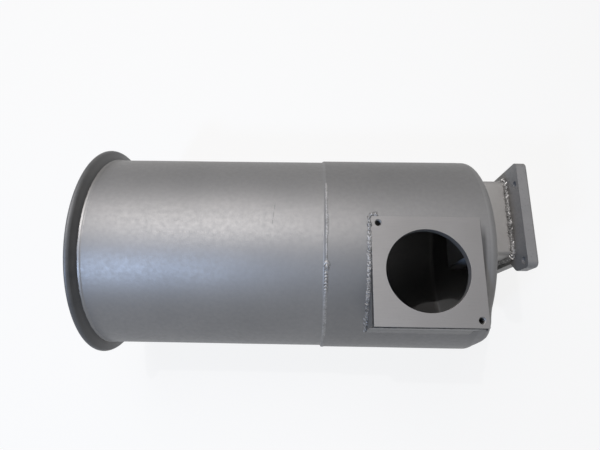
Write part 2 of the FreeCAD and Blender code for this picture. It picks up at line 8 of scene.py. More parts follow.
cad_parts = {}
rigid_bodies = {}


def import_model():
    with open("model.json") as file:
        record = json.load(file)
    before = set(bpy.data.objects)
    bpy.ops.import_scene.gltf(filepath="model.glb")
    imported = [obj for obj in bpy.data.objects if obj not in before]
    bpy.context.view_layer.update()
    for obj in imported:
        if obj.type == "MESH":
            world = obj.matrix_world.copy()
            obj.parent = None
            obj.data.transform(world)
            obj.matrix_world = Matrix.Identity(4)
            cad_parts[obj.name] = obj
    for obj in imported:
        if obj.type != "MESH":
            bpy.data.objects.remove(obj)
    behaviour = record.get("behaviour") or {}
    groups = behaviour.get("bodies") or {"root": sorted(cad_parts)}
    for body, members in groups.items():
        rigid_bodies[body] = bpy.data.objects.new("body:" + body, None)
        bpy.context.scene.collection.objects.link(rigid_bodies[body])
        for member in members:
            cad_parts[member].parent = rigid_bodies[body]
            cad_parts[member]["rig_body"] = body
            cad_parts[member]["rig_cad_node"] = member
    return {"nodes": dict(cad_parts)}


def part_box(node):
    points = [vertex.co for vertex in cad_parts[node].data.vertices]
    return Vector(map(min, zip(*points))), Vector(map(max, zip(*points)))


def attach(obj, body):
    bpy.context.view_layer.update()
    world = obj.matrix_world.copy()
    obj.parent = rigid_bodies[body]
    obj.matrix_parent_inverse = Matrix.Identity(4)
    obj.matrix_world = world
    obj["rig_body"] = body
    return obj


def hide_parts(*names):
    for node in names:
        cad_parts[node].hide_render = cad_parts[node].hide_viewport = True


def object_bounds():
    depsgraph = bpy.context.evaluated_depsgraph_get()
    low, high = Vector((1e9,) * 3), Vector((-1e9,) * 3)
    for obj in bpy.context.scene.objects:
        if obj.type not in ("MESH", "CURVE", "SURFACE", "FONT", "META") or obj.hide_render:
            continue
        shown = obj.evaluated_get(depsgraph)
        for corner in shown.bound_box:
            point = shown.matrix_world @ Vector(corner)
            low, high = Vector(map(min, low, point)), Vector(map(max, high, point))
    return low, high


# Welded muffler can, in metres.
# X runs along the can from the clamp ring to the outlet flange.
# Z points out of the side port, and Y is up in the picture.

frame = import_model()
solid_box = [list(corner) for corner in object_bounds()]

# Places and sizes read from the solids
ring_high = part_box("clamp_ring")[1]
ring_bead_low, ring_bead_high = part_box("ring_weld")
front_low, front_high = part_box("front_shell")
seam_low, seam_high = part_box("seam_weld")
rear_low, rear_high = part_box("rear_shell")
plate_low, plate_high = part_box("port_plate")
wall_low, wall_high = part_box("port_wall_left")
duct_low, duct_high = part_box("outlet_duct")
flange_low, flange_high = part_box("outlet_flange")
front_radius = front_high.y
shell_radius = rear_high.y
shell_end = rear_high.x
box_wall = wall_high.x - wall_low.x
port_centre = (plate_low + plate_high) / 2
duct_middle = (duct_low + duct_high) / 2
duct_half = (duct_high.z - duct_low.z) / 2
duct_reach = duct_high.x - duct_low.x

# Sizes that the boxes of the solids don't give
SHEET = 0.0018
RING_RIM = 0.006
RING_EDGE = 0.0024
RING_BACK = 0.0056
RING_NECK = 0.0008
RING_NECK_LENGTH = 0.003
RING_STOP = 0.004
CROWN = 0.440
KNUCKLE = 0.010
PORT_BORE = 0.056
THREAD_EDGE = 0.0095
THREAD_ROOT = 0.0046
THREAD_PITCH = 0.0010
THREAD_SHADE_DEPTH = 0.0035
THREAD_CHAMFER = 0.0004
DUCT_WALL = 0.004
DUCT_OVER = 0.01
DUCT_CORNER = 0.007
FLANGE_ROUND = 0.0032
FLANGE_BREAK = 0.0009
BOLT_HOLE = 0.008
BOLT_SPREAD = 0.089
BOLT_HEIGHTS = (0.0917, -0.0269)
MERGE = 0.00001
BREAK_EDGE = 0.0004
CUT_OVER = 0.002
FLAT_ANGLE = 0.5
ROUND_STEPS = 288
RING_STEPS = 320
BORE_STEPS = 192
TAP_STEPS = 48
FULL_TURN = 2 * math.pi
crown_centre = duct_low.x - math.sqrt(CROWN ** 2 - shell_radius ** 2)


# Ways to model

def only(piece):
    """Leave one object selected and active."""
    bpy.ops.object.select_all(action="DESELECT")
    piece.select_set(True)
    bpy.context.view_layer.objects.active = piece


def started(name):
    """Name the form that was just added and bring its place into its mesh."""
    piece = bpy.context.active_object
    piece.name = name
    piece.data.name = name
    only(piece)
    bpy.ops.object.transform_apply(location=True, rotation=True, scale=True)
    return piece


def block(name, low, high):
    """Add a block between two corners."""
    low, high = Vector(low), Vector(high)
    bpy.ops.mesh.primitive_cube_add(size=1, location=(low + high) / 2, scale=high - low)
    return started(name)


def drum(name, radius, centre, low, high, sides):
    """Add an upright cylinder between two heights."""
    bpy.ops.mesh.primitive_cylinder_add(vertices=sides, radius=radius, depth=high - low,
                                        location=(centre[0], centre[1], (low + high) / 2))
    return started(name)


def join_all(name, pieces):
    """Make one object of several."""
    bpy.ops.object.select_all(action="DESELECT")
    for piece in pieces:
        piece.select_set(True)
    bpy.context.view_layer.objects.active = pieces[0]
    bpy.ops.object.join()
    return started(name)


def choose(piece, kind, test):
    """Enter edit mode with those points or edges selected that pass a test of their places."""
    only(piece)
    bpy.ops.object.mode_set(mode="EDIT")
    bpy.ops.mesh.select_mode(type=kind)
    bpy.ops.mesh.select_all(action="DESELECT")
    bpy.ops.object.mode_set(mode="OBJECT")
    points = piece.data.vertices
    if kind == "VERT":
        for point in points:
            point.select = test(point.co)
    else:
        for edge in piece.data.edges:
            edge.select = test(*(points[i].co for i in edge.vertices))
    bpy.ops.object.mode_set(mode="EDIT")


def leave_edit():
    bpy.ops.object.mode_set(mode="OBJECT")


def apply_modifier(piece, kind, **settings):
    """Add a modifier with its settings and apply it."""
    only(piece)
    modifier = piece.modifiers.new(kind.lower(), kind)
    for name, value in settings.items():
        setattr(modifier, name, value)
    bpy.ops.object.modifier_apply(modifier=modifier.name)


def cut(piece, tool):
    """Take a tool's form out of a piece, and the tool away."""
    apply_modifier(piece, "BOOLEAN", operation="DIFFERENCE", object=tool, solver="EXACT")
    bpy.data.objects.remove(tool)


def soften(piece, width, segments, angle):
    """Round the sharp edges of a piece."""
    apply_modifier(piece, "BEVEL", width=width, segments=segments, limit_method="ANGLE",
                   angle_limit=math.radians(angle))


def smooth(piece, angle=32):
    only(piece)
    bpy.ops.object.shade_smooth_by_angle(angle=math.radians(angle))


def smooth_plate(piece):
    """Smooth the rounded edges of a plate and keep its faces flat."""
    smooth(piece)
    apply_modifier(piece, "WEIGHTED_NORMAL", keep_sharp=True)


def uneven(piece, size, depth):
    """Push the surface in and out by a soft pattern of a size and depth."""
    pattern = bpy.data.textures.new(piece.name + "_pattern", "CLOUDS")
    pattern.noise_scale = size
    apply_modifier(piece, "DISPLACE", texture=pattern, texture_coords="LOCAL",
                   strength=depth, mid_level=0.5)


def arc(centre, radius, start, end, steps):
    """Points of a round stretch in a profile, between two angles in degrees."""
    along, out = centre
    angles = [math.radians(start + (end - start) * i / steps) for i in range(steps + 1)]
    return [(along + radius * math.cos(a), out + radius * math.sin(a)) for a in angles]


def turned(name, profile, steps=ROUND_STEPS):
    """Turn a closed profile of (along, out) points once round the X axis."""
    along, out = profile[0]
    bpy.ops.mesh.primitive_plane_add(size=MERGE, location=(along, 0, out))
    piece = started(name)
    bpy.ops.object.mode_set(mode="EDIT")
    bpy.ops.mesh.select_mode(type="VERT")
    bpy.ops.mesh.select_all(action="SELECT")
    bpy.ops.mesh.merge(type="CENTER")
    for (along, out), (next_along, next_out) in zip(profile, profile[1:] + profile[:1]):
        step = (next_along - along, 0, next_out - out)
        bpy.ops.mesh.extrude_region_move(TRANSFORM_OT_translate={"value": step})
    bpy.ops.mesh.select_all(action="SELECT")
    bpy.ops.mesh.remove_doubles(threshold=MERGE)
    bpy.ops.mesh.spin(steps=steps, angle=FULL_TURN, center=(0, 0, 0), axis=(1, 0, 0))
    bpy.ops.mesh.select_all(action="SELECT")
    bpy.ops.mesh.remove_doubles(threshold=MERGE)
    bpy.ops.mesh.normals_make_consistent(inside=False)
    leave_edit()
    return piece


def rows(start, end, count, out):
    """Points of a straight stretch in a profile, evenly spaced."""
    return [(start + (end - start) * i / count, out) for i in range(count + 1)]


def copy_of(node, name):
    """Copy a solid's mesh, with its points joined and its flat faces whole."""
    only(frame["nodes"][node])
    bpy.ops.object.duplicate()
    piece = bpy.context.active_object
    piece.name = name
    piece.data.name = name
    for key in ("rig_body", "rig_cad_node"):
        if key in piece:
            del piece[key]
    piece.parent = None
    bpy.ops.object.mode_set(mode="EDIT")
    bpy.ops.mesh.select_all(action="SELECT")
    bpy.ops.mesh.remove_doubles(threshold=MERGE)
    bpy.ops.mesh.dissolve_limited(angle_limit=math.radians(FLAT_ANGLE))
    leave_edit()
    return piece


def finished(piece, material, slot, *nodes):
    """Give a piece its material, and let it ride on the can in place of its solids."""
    piece.data.materials.clear()
    piece.data.materials.append(material)
    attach(piece, "root")
    if nodes:
        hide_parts(*nodes)


# Shader maths

class Value:
    """A socket's value, on which the usual operators add Math nodes."""

    def __init__(self, finish, socket):
        self.finish = finish
        self.socket = socket

    def maths(self, operation, first, second=0.0):
        return self.finish.node("ShaderNodeMath", {"operation": operation}, {0: first, 1: second})

    def __add__(self, other):
        return self.maths("ADD", self, other)

    def __radd__(self, other):
        return self.maths("ADD", other, self)

    def __sub__(self, other):
        return self.maths("SUBTRACT", self, other)

    def __rsub__(self, other):
        return self.maths("SUBTRACT", other, self)

    def __mul__(self, other):
        return self.maths("MULTIPLY", self, other)

    def __rmul__(self, other):
        return self.maths("MULTIPLY", other, self)

    def __truediv__(self, other):
        return self.maths("DIVIDE", self, other)

    def __pow__(self, other):
        return self.maths("POWER", self, other)

    def __lt__(self, other):
        return self.maths("LESS_THAN", self, other)

    def __gt__(self, other):
        return self.maths("GREATER_THAN", self, other)

    def __abs__(self):
        return self.maths("ABSOLUTE", self)

    def root(self):
        return self.maths("SQRT", self)

    def sine(self):
        return self.maths("SINE", self)

    def larger(self, other):
        return self.maths("MAXIMUM", self, other)


class Finish:
    """A material in the making, or the world's light."""

    def __init__(self, name, world=None):
        self.material = world or bpy.data.materials.new(name)
        self.material.use_nodes = True
        self.tree = self.material.node_tree
        self.tree.nodes.clear()
        self.place = self.node("ShaderNodeTexCoord", output="Object")

    def node(self, kind, settings=None, inputs=None, output=0):
        """Add a node, set it up, and feed its sockets with values or links."""
        made = self.tree.nodes.new(kind)
        for name, value in (settings or {}).items():
            setattr(made, name, value)
        for name, value in (inputs or {}).items():
            if isinstance(value, Value):
                self.tree.links.new(value.socket, made.inputs[name])
            else:
                made.inputs[name].default_value = value
        return Value(self, made.outputs[output]) if made.outputs else None

    def axes(self):
        """The place on the piece as three values."""
        return [self.node("ShaderNodeSeparateXYZ", inputs={0: self.place}, output=i)
                for i in range(3)]

    def stretched(self, along, across, out):
        """The place with each axis scaled, for a pattern that runs one way."""
        return self.node("ShaderNodeMapping", inputs={
            "Vector": self.place, "Scale": (along, across, out)})

    def noise(self, scale, detail, place=None, roughness=0.5):
        return self.node("ShaderNodeTexNoise", inputs={
            "Vector": place or self.place, "Scale": scale, "Detail": detail,
            "Roughness": roughness})

    def band(self, value, low, high, bottom=0.0, top=1.0):
        """Take a value from one range to another, kept inside it."""
        return self.node("ShaderNodeMapRange", {"clamp": True}, {
            "Value": value, "From Min": low, "From Max": high, "To Min": bottom, "To Max": top})

    def blend(self, share, first, second):
        """Mix two colours by a share."""
        return self.node("ShaderNodeMix", {"data_type": "RGBA"}, {0: share, 6: first, 7: second},
                         output=2)

    def tinted(self, colour, value, low, high, most, tone):
        """Bring a tone into a colour where a value is high, up to a share."""
        return self.blend(self.band(value, low, high, 0.0, most), colour, tone)

    def bump(self, height, strength, distance, under=None):
        inputs = {"Height": height, "Strength": strength, "Distance": distance}
        if under is not None:
            inputs["Normal"] = under
        return self.node("ShaderNodeBump", inputs=inputs)

    def done(self, **sockets):
        """Close the material with a surface shader."""
        names = {name.replace("_", " ").title(): value for name, value in sockets.items()}
        shader = self.node("ShaderNodeBsdfPrincipled", inputs=names)
        self.node("ShaderNodeOutputMaterial", inputs={"Surface": shader})
        return self.material


def grey(level, warmth=0.0):
    """A grey of a linear level, slightly warm or, below nought, slightly cool."""
    return (level * (1 + warmth), level, level * (1 - warmth), 1)


def from_can_axis(across, out):
    """Distance from the can's axis."""
    return (across * across + out * out).root()


# Painted shade to the right of the port box: where it fades along the can, and down the box
CORNER_SHADE_ALONG = (0.0075, 0.0035)
CORNER_SHADE_DOWN = (0.008, 0.030)
# Scuff on the front shell: its place along the can, lean, half width and ends
SCUFF_PLACE = 0.2758
SCUFF_LEAN = 0.09
SCUFF_HALF = 0.0005
SCUFF_ENDS = (0.004, 0.038)
# Ragged edge of the coat on the ring's neck
COAT_RAGGED = 0.0022
COAT_FADE = 0.0004


def satin_sheet_finish():
    """Satin grey coat on rolled sheet, dark on the inside of the can."""
    finish = Finish("satin_sheet")
    along, across, out = finish.axes()
    from_axis = from_can_axis(across, out)
    outside = finish.band(from_axis, front_radius - SHEET * 0.9, front_radius - SHEET * 0.5)
    past_crown = along - ((CROWN ** 2 - from_axis * from_axis).root() + crown_centre)
    on_crown = finish.band(past_crown, -SHEET * 0.7, -SHEET * 0.4)
    outside = outside.larger(on_crown)
    from_duct = abs(across - duct_middle.y).larger(abs(out))
    in_duct = (from_duct < duct_half - DUCT_WALL / 2) * (along > shell_end)
    outside = outside * (1 - in_duct)
    on_duct = (from_duct < duct_half + 0.0003) * finish.band(past_crown, 0.0, 0.0006)
    cloud = finish.noise(9.0, 4.0)
    mottle = finish.noise(160.0, 3.0)
    rolled = finish.noise(1.0, 4.0, finish.stretched(500.0, 30.0, 30.0))
    coat = finish.blend(finish.band(cloud, 0.35, 0.65), grey(0.188, 0.008), grey(0.208, 0.012))
    coat = finish.tinted(coat, mottle, 0.30, 0.75, 0.35, grey(0.172, 0.008))
    soot = finish.blend(mottle, grey(0.20, -0.01), grey(0.23, -0.02))
    coat = finish.blend(on_duct, coat, grey(0.29, 0.02))
    rear = (along > seam_high.x) * (along < shell_end + KNUCKLE / 2)
    coat = finish.blend(rear * 0.16, coat, grey(0.07))
    # Painted shade in the corner to the right of the port box
    corner = finish.band(along, plate_high.x + CORNER_SHADE_ALONG[0], plate_high.x + CORNER_SHADE_ALONG[1])
    corner = corner * (along > plate_high.x - 0.001) * (across > plate_low.y) * (out > 0)
    corner = corner * finish.band(across, plate_high.y - CORNER_SHADE_DOWN[0], plate_high.y - CORNER_SHADE_DOWN[1])
    coat = finish.blend(corner * 0.85, coat, grey(0.06, 0.01))
    # A fine scuff across the front shell
    scuff_line = abs(along - (across * SCUFF_LEAN + SCUFF_PLACE)) < SCUFF_HALF
    scuff_span = (across > SCUFF_ENDS[0]) * (across < SCUFF_ENDS[1]) * (out > 0)
    scuff = scuff_line * scuff_span * finish.band(mottle, 0.35, 0.6)
    coat = finish.blend(scuff * 0.5, coat, grey(0.10))
    colour = finish.blend(outside, soot, coat)
    grain = finish.noise(2600.0, 2.0)
    normal = finish.bump(grain, 0.25, 0.0002)
    normal = finish.bump(rolled, 0.06, 0.0003, normal)
    rough = finish.band(mottle, 0.3, 0.7, 0.49, 0.56)
    rough = rough * outside + (1 - outside) * 0.8
    return finish.done(base_color=colour, metallic=outside * 0.75, roughness=rough,
                       normal=normal)


def inner_steel_finish():
    """Bare sheet that the exhaust has darkened."""
    finish = Finish("inner_steel")
    cloud = finish.noise(22.0, 5.0)
    spots = finish.noise(300.0, 3.0)
    colour = finish.blend(finish.band(cloud, 0.35, 0.65), grey(0.075, 0.04), grey(0.15, 0.05))
    colour = finish.tinted(colour, spots, 0.55, 0.8, 0.5, grey(0.05, 0.06))
    normal = finish.bump(spots, 0.2, 0.0004)
    rough = finish.band(spots, 0.3, 0.7, 0.5, 0.65)
    return finish.done(base_color=colour, metallic=0.3, roughness=rough, normal=normal)


def wool_finish():
    """Coarse mineral wool."""
    finish = Finish("wool")
    strands = finish.noise(1.0, 6.0, finish.stretched(120.0, 900.0, 900.0), 0.7)
    clumps = finish.noise(60.0, 4.0)
    colour = finish.blend(strands, (0.30, 0.25, 0.16, 1), (0.62, 0.56, 0.42, 1))
    colour = finish.tinted(colour, clumps, 0.4, 0.7, 0.6, (0.24, 0.20, 0.14, 1))
    normal = finish.bump(strands, 0.8, 0.002)
    return finish.done(base_color=colour, roughness=0.95, normal=normal)


def ring_finish():
    """Dark turned steel with fine turning marks, painted shade at the foot of its sloping back, and
    the sheet's coat over its neck.
    """
    finish = Finish("dark_ring")
    along, across, out = finish.axes()
    from_axis = from_can_axis(across, out)
    marks = ((from_axis + along * 0.8) * 9000.0).sine()
    cloud = finish.noise(35.0, 4.0)
    spots = finish.noise(700.0, 3.0)
    colour = finish.blend(finish.band(cloud, 0.3, 0.7), grey(0.075, -0.02), grey(0.11, 0.01))
    colour = finish.tinted(colour, spots, 0.6, 0.8, 0.5, grey(0.15, 0.02))
    # The coat ends in a ragged line at the foot of the sloping back
    ragged = finish.noise(130.0, 4.0)
    coat_edge = ring_high.x - RING_NECK_LENGTH
    coated = finish.band(along + (ragged - 0.5) * COAT_RAGGED, coat_edge, coat_edge + COAT_FADE)
    # Painted shade in the crease at the foot of the sloping back, just short of the coat's edge
    below = finish.band(along, coat_edge - COAT_RAGGED, coat_edge)
    colour = finish.blend(below * 0.6, colour, grey(0.03))
    colour = finish.blend(coated, colour, grey(0.21, 0.015))
    normal = finish.bump(marks, 0.12, 0.00005)
    normal = finish.bump(spots, 0.25, 0.0002, normal)
    rough = finish.band(cloud, 0.3, 0.7, 0.42, 0.55)
    return finish.done(base_color=colour, metallic=coated * 0.45 + 0.3, roughness=rough,
                       normal=normal)


def thread_places():
    """Middles of the two tapped holes."""
    return ((plate_low.x + THREAD_EDGE, plate_high.y - THREAD_EDGE),
            (plate_high.x - THREAD_EDGE, plate_low.y + THREAD_EDGE))


def plate_finish():
    """Matt ground plate with fine marks one way, with painted shade on its cut sides and deep in the
    threads.
    """
    finish = Finish("machined_plate")
    along, across, out = finish.axes()
    marks = finish.noise(1.0, 4.0, finish.stretched(40.0, 1800.0, 40.0))
    cloud = finish.noise(14.0, 4.0)
    spots = finish.noise(420.0, 3.0)
    colour = finish.blend(finish.band(cloud, 0.3, 0.7), grey(0.190, 0.035), grey(0.210, 0.03))
    colour = finish.tinted(colour, marks, 0.35, 0.7, 0.3, grey(0.19, 0.03))
    colour = finish.tinted(colour, spots, 0.62, 0.8, 0.4, grey(0.15, 0.03))
    reach = (plate_high - plate_low) / 2
    from_middle = (abs(along - port_centre.x) / reach.x).larger(
        abs(across - port_centre.y) / reach.y)
    # Painted shade: the plate's sides below its face are darkened, for the shade line under its edge
    below_face = finish.band(out, plate_high.z - 0.0003, plate_high.z - 0.0011)
    painted_side_shade = finish.band(from_middle, 0.990, 0.996) * below_face
    colour = finish.blend(painted_side_shade, colour, grey(0.055, 0.02))
    # Painted shade deep in each tapped hole
    for x, y in thread_places():
        from_hole = ((along - x) ** 2 + (across - y) ** 2).root()
        in_hole = finish.band(from_hole, THREAD_ROOT + 0.0003, THREAD_ROOT - 0.0001)
        deep = finish.band(out, plate_high.z - THREAD_SHADE_DEPTH, plate_high.z - THREAD_SHADE_DEPTH * 1.3)
        colour = finish.blend(in_hole * deep, colour, grey(0.02))
    normal = finish.bump(marks, 0.12, 0.00015)
    normal = finish.bump(spots, 0.12, 0.0002, normal)
    rough = finish.band(marks, 0.3, 0.7, 0.5, 0.62)
    return finish.done(base_color=colour, metallic=0.6, roughness=rough, normal=normal)


def flange_finish():
    """Satin coat over plate, with the marks of the torch on its edges."""
    finish = Finish("flange_coat")
    ribs = finish.noise(1.0, 3.0, finish.stretched(20.0, 700.0, 700.0))
    cloud = finish.noise(18.0, 4.0)
    spots = finish.noise(380.0, 3.0)
    colour = finish.blend(finish.band(cloud, 0.3, 0.7), grey(0.185, 0.01), grey(0.215, 0.02))
    colour = finish.tinted(colour, spots, 0.58, 0.8, 0.45, grey(0.10, 0.02))
    normal = finish.bump(ribs, 0.2, 0.0003)
    normal = finish.bump(spots, 0.15, 0.0002, normal)
    rough = finish.band(spots, 0.3, 0.7, 0.45, 0.58)
    return finish.done(base_color=colour, metallic=0.5, roughness=rough, normal=normal)


def weld_finish(name, dark, light, metallic, smoothness):
    """Weld metal, darker and brighter in a fine random pattern."""
    finish = Finish(name)
    spots = finish.noise(520.0, 4.0)
    cloud = finish.noise(60.0, 3.0)
    tone = finish.band(spots * 0.6 + cloud * 0.4, 0.38, 0.62)
    colour = finish.blend(tone, dark, light)
    normal = finish.bump(spots, 0.35, 0.0004)
    rough = finish.band(spots, 0.35, 0.65, smoothness, smoothness + 0.2)
    return finish.done(base_color=colour, metallic=metallic, roughness=rough, normal=normal)


satin_sheet = satin_sheet_finish()
inner_steel = inner_steel_finish()
wool = wool_finish()
dark_ring = ring_finish()
machined_plate = plate_finish()
flange_coat = flange_finish()
painted_weld = weld_finish("painted_weld", grey(0.16, 0.02), grey(0.33, 0.01), 0.7, 0.42)
rough_weld = weld_finish("rough_weld", grey(0.10, 0.02), grey(0.34, 0.01), 0.65, 0.42)
# Near-black weld: painted shade for the dark line under the port plate's lower edge
shade_dark_weld = weld_finish("shade_dark_weld", grey(0.025, 0.02), grey(0.07, 0.02), 0.3, 0.5)
bright_weld = weld_finish("bright_weld", grey(0.14, 0.02), grey(0.50, 0.01), 0.6, 0.3)


# Clamp ring

def make_ring():
    """Turned ring with a rounded rim and a sloping back."""
    inner = front_radius - SHEET
    top = ring_high.y
    neck = front_radius + RING_NECK
    neck_start = ring_high.x - RING_NECK_LENGTH
    slope = math.degrees(math.atan2(neck_start - RING_RIM, top - neck))
    lean = math.radians(slope)
    back_centre = RING_RIM - RING_BACK * (1 - math.sin(lean)) / math.cos(lean)
    profile = [(0, inner)]
    profile += arc((RING_EDGE, top - RING_EDGE), RING_EDGE, 180, 90, 6)
    profile += arc((back_centre, top - RING_BACK), RING_BACK, 90, slope, 10)
    profile += [(neck_start, neck), (ring_high.x, neck), (ring_high.x, front_radius),
                (RING_STOP, front_radius), (RING_STOP, inner)]
    ring = turned("turned_ring", profile, RING_STEPS)
    soften(ring, BREAK_EDGE, 2, 30)
    smooth(ring)
    finished(ring, dark_ring, "dark_ring", "clamp_ring")


make_ring()


# Shells

SHELL_WAVE = 0.16
SHELL_WAVE_DEPTH = 0.0005
FRONT_ROWS = 30
REAR_ROWS = 22


def rolled_tube(name, start, end, radius, count):
    """Tube of rolled sheet, a little uneven."""
    profile = rows(start, end, count, radius) + rows(end, start, count, radius - SHEET)
    tube = turned(name, profile)
    uneven(tube, SHELL_WAVE, SHELL_WAVE_DEPTH)
    return tube


def make_front_shell():
    shell = rolled_tube("front_sheet", front_low.x, front_high.x, front_radius, FRONT_ROWS)
    smooth(shell)
    finished(shell, satin_sheet, "satin_sheet", "front_shell")


def make_rear_shell():
    """Shell that is cut out under the port plate and inside the port box."""
    shell = rolled_tube("rear_sheet", rear_low.x, shell_end, shell_radius, REAR_ROWS)
    top = shell_radius * 1.1
    seat = block("plate_seat", plate_low, (plate_high.x, plate_high.y, top))
    cut(shell, seat)
    window = block("port_window", (plate_low.x + box_wall, plate_low.y + box_wall, 0),
                   (plate_high.x - box_wall, plate_high.y - box_wall, top))
    cut(shell, window)
    smooth(shell)
    finished(shell, satin_sheet, "satin_sheet", "rear_shell")


make_front_shell()
make_rear_shell()


# End cap with the swelling at the port box's corner

CROWN_STEPS = 20


def crown_at(out):
    """Distance of the cap's outside at a distance from the axis."""
    return crown_centre + math.sqrt(CROWN ** 2 - out ** 2)


def bend_centre(radius, crown, knuckle):
    """Centre of the cap's bend, along the can and out from the axis."""
    bend = radius - knuckle
    return crown_centre + math.sqrt((crown - knuckle) ** 2 - bend ** 2), bend


def dish(radius, crown, knuckle):
    """Profile of the cap from its open end to near the axis."""
    bend_place, bend = bend_centre(radius, crown, knuckle)
    turn = math.degrees(math.atan2(bend, bend_place - crown_centre))
    points = rows(shell_end, bend_place, 2, radius)[:-1]
    points += arc((bend_place, bend), knuckle, 90, turn, 8)
    return points + arc((crown_centre, 0), crown, turn, 2, CROWN_STEPS)[1:]


def duct_bar(name, grow, corner, start, end):
    """Square bar with rounded edges at the duct's place."""
    bar = block(name, (start, duct_low.y - grow, duct_low.z - grow),
                (end, duct_high.y + grow, duct_high.z + grow))
    choose(bar, "EDGE", lambda first, second: abs(first.x - second.x) > MERGE)
    bpy.ops.mesh.bevel(offset=corner, segments=8, affect="EDGES")
    leave_edit()
    return bar


# Angle from Z towards Y, in degrees, and reach of the swelling there
SWELLING = ((-78, 0.0), (-74, 0.003), (-70, 0.007), (-66, 0.009), (-62, 0.0085),
            (-58, 0.007), (-54, 0.0055), (-50, 0.003), (-46, 0.001), (-42, 0.0))
SWELL_FADE = 0.030


def swelling_at(angle):
    """Reach of the swelling at an angle, between the rows of its table."""
    for (start, low), (end, high) in zip(SWELLING, SWELLING[1:]):
        if start <= angle < end:
            return low + (high - low) * (angle - start) / (end - start)
    return 0.0


def swell(cap, skirt_end, bend):
    """Push the cap's bend outwards beside the port box, and let the crown follow."""
    group = cap.vertex_groups.new(name="swelling")
    for point in cap.data.vertices:
        along, across, up = point.co
        out = math.hypot(across, up)
        reach = swelling_at(math.degrees(math.atan2(across, up)))
        from_skirt = min(1, max(0, (along - shell_end) / (skirt_end - shell_end)))
        from_crown = min(1, max(0, 1 - (bend - out) / SWELL_FADE))
        share = reach * from_skirt * from_crown ** 2 * (3 - 2 * from_crown)
        if share > 0:
            group.add([point.index], share / duct_reach, "REPLACE")
    apply_modifier(cap, "DISPLACE", direction="X", strength=duct_reach, mid_level=0.0,
                   vertex_group=group.name)


def make_end_cap():
    outer = dish(shell_radius, CROWN, KNUCKLE)
    inner = dish(shell_radius - SHEET, CROWN - SHEET, KNUCKLE - SHEET)
    cap = turned("cap_sheet", outer + inner[::-1])
    swell(cap, *bend_centre(shell_radius, CROWN, KNUCKLE))
    cut(cap, duct_bar("cap_hole", 0, DUCT_CORNER, shell_end, flange_low.x))
    smooth(cap)
    finished(cap, satin_sheet, "satin_sheet", "end_cap", "port_corner_patch")


make_end_cap()


# Port plate, its threads and its box

def make_port_plate():
    plate = block("port_plate_body", plate_low, plate_high)
    low, high = plate_low.z - CUT_OVER, plate_high.z + CUT_OVER
    cut(plate, drum("bore_tool", PORT_BORE, port_centre, low, high, BORE_STEPS))
    for place in thread_places():
        cut(plate, drum("tap_tool", THREAD_ROOT, place, low, high, TAP_STEPS))

    def at_mouth(point):
        reach = min(math.hypot(point.x - x, point.y - y) for x, y in thread_places())
        return reach < THREAD_ROOT * 1.01 and point.z > plate_high.z - MERGE

    choose(plate, "EDGE", lambda *ends: all(at_mouth(end) for end in ends))
    bpy.ops.mesh.bevel(offset=THREAD_CHAMFER, segments=1, affect="EDGES")
    leave_edit()
    soften(plate, BREAK_EDGE, 2, 50)
    smooth_plate(plate)
    finished(plate, machined_plate, "machined_plate", "port_plate")


def make_threads():
    """Fine ridge of a thread in each tapped hole."""
    depth = plate_high.z - plate_low.z - THREAD_CHAMFER
    turns = int(depth / THREAD_PITCH) - 1
    threads = []
    for x, y in thread_places():
        bpy.ops.mesh.primitive_circle_add(vertices=3, radius=THREAD_PITCH * 0.5,
                                          location=(THREAD_ROOT, 0, 0),
                                          rotation=(math.pi / 2, 0, 0))
        ridge = started("port_thread")
        choose(ridge, "VERT", lambda point: True)
        bpy.ops.transform.rotate(value=math.pi / 2, orient_axis="Y",
                                 center_override=(THREAD_ROOT, 0, 0))
        leave_edit()
        apply_modifier(ridge, "SCREW", steps=32, render_steps=32, angle=FULL_TURN,
                       screw_offset=THREAD_PITCH, iterations=turns)
        ridge.location = (x, y, plate_low.z + THREAD_PITCH)
        only(ridge)
        bpy.ops.object.transform_apply(location=True, rotation=True, scale=True)
        threads.append(ridge)
    joined = join_all("port_threads", threads)
    smooth(joined)
    finished(joined, machined_plate, "machined_plate")


def make_box_walls():
    for side in ("left", "right", "lower"):
        wall = copy_of("port_wall_" + side, "box_wall_" + side)
        smooth(wall)
        finished(wall, satin_sheet, "satin_sheet", "port_wall_" + side)


make_port_plate()
make_threads()
make_box_walls()


# Outlet duct and flange

def make_duct():
    bar = duct_bar("square_duct", 0, DUCT_CORNER, duct_low.x, duct_high.x)
    bore = duct_bar("duct_bore", -DUCT_WALL, DUCT_CORNER - DUCT_WALL, duct_low.x - DUCT_OVER,
                    duct_high.x + DUCT_OVER)
    cut(bar, bore)
    smooth(bar)
    finished(bar, satin_sheet, "satin_sheet", "outlet_duct")


def make_flange():
    flange = copy_of("outlet_flange", "outlet_flange_plate")

    def on_front_rim(point):
        off = max(abs(point.y - duct_middle.y), abs(point.z - duct_middle.z))
        return point.x > flange_high.x - MERGE and off > duct_half + 0.001

    def in_bolt_hole(point):
        return any((point.y - y) ** 2 + (point.z - z) ** 2 < BOLT_HOLE ** 2
                   for y in BOLT_HEIGHTS for z in (-BOLT_SPREAD, BOLT_SPREAD))

    choose(flange, "EDGE",
           lambda *ends: all(on_front_rim(end) and not in_bolt_hole(end) for end in ends))
    bpy.ops.mesh.bevel(offset=FLANGE_ROUND, segments=5, affect="EDGES")
    leave_edit()
    soften(flange, FLANGE_BREAK, 3, 40)
    smooth_plate(flange)
    finished(flange, flange_coat, "flange_steel", "outlet_flange")


make_duct()
make_flange()


# Weld beads

BEAD_ANGLE = 60
BEAD_CLEAR = 0.0002
SLOPE_STEPS = 8
OUTLINE_STEPS = 6
